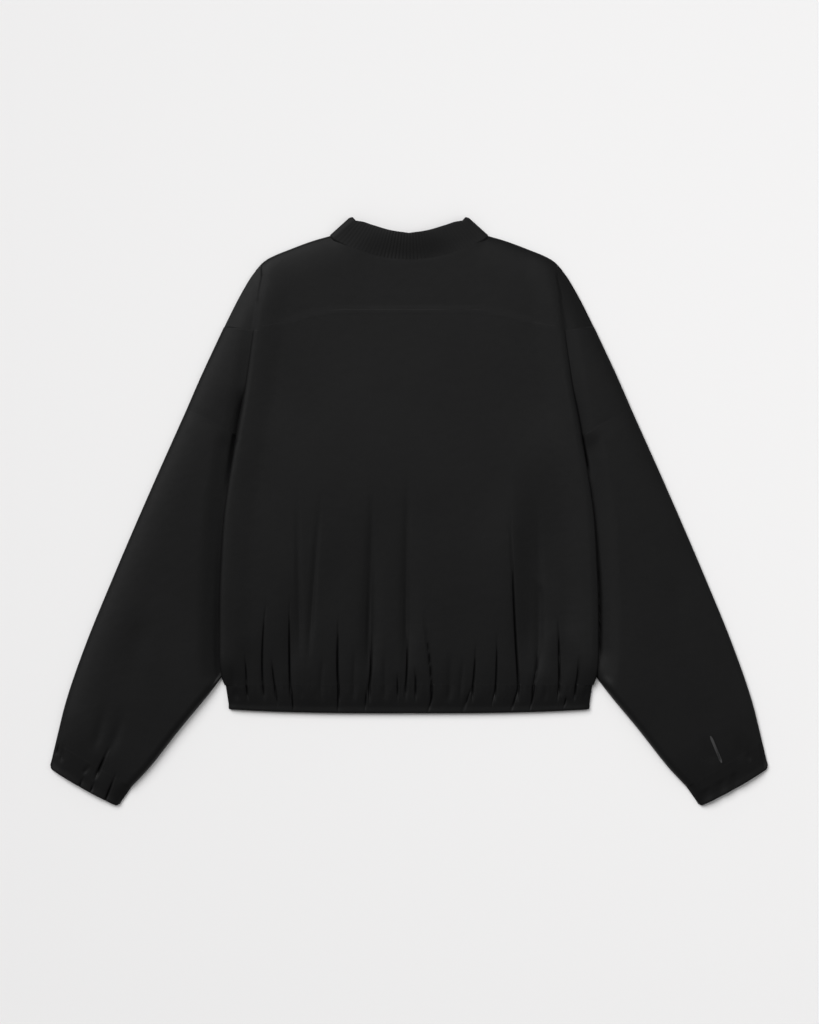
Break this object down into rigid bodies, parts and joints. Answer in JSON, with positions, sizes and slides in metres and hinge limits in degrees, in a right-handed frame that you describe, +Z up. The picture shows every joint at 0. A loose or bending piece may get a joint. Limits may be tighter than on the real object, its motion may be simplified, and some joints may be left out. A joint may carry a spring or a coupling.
{
  "type": "cropped bomber jacket",
  "caption": "Cropped bomber jacket laid face down: yoked back over plain fronts, dropped shoulders, wide sleeves, rib collar, and elastic cuffs and hem.",
  "frame": {"origin": "on the surface that the jacket lies on, below the centre of its bounding box", "axes": "+X across the jacket towards the right-hand sleeve as seen from above, +Y from the hem towards the collar, +Z up out of the surface"},
  "size_m": [0.9118, 0.748, 0.0135],
  "materials": {
    "shell_cloth": "smooth, fine dense weave with a soft satin sheen",
    "band_cloth": "the same cloth gathered on elastic",
    "rib_knit": "matte fine rib knit",
    "zip_tape": "matte woven tape",
    "slider_metal": "dark satin coating",
    "tab_tape": "plain woven tape"
  },
  "bodies": {
    "root": {"back_yoke": "shell_cloth", "back_panel": "shell_cloth", "front_left": "shell_cloth", "front_right": "shell_cloth", "sleeve_left": "shell_cloth", "sleeve_right": "shell_cloth", "cuff_left": "band_cloth", "cuff_right": "band_cloth", "hem_band": "band_cloth", "collar": "rib_knit", "zip": "zip_tape", "zip_slider": "slider_metal", "sleeve_tab": "tab_tape"}
  },
  "joints": []
}
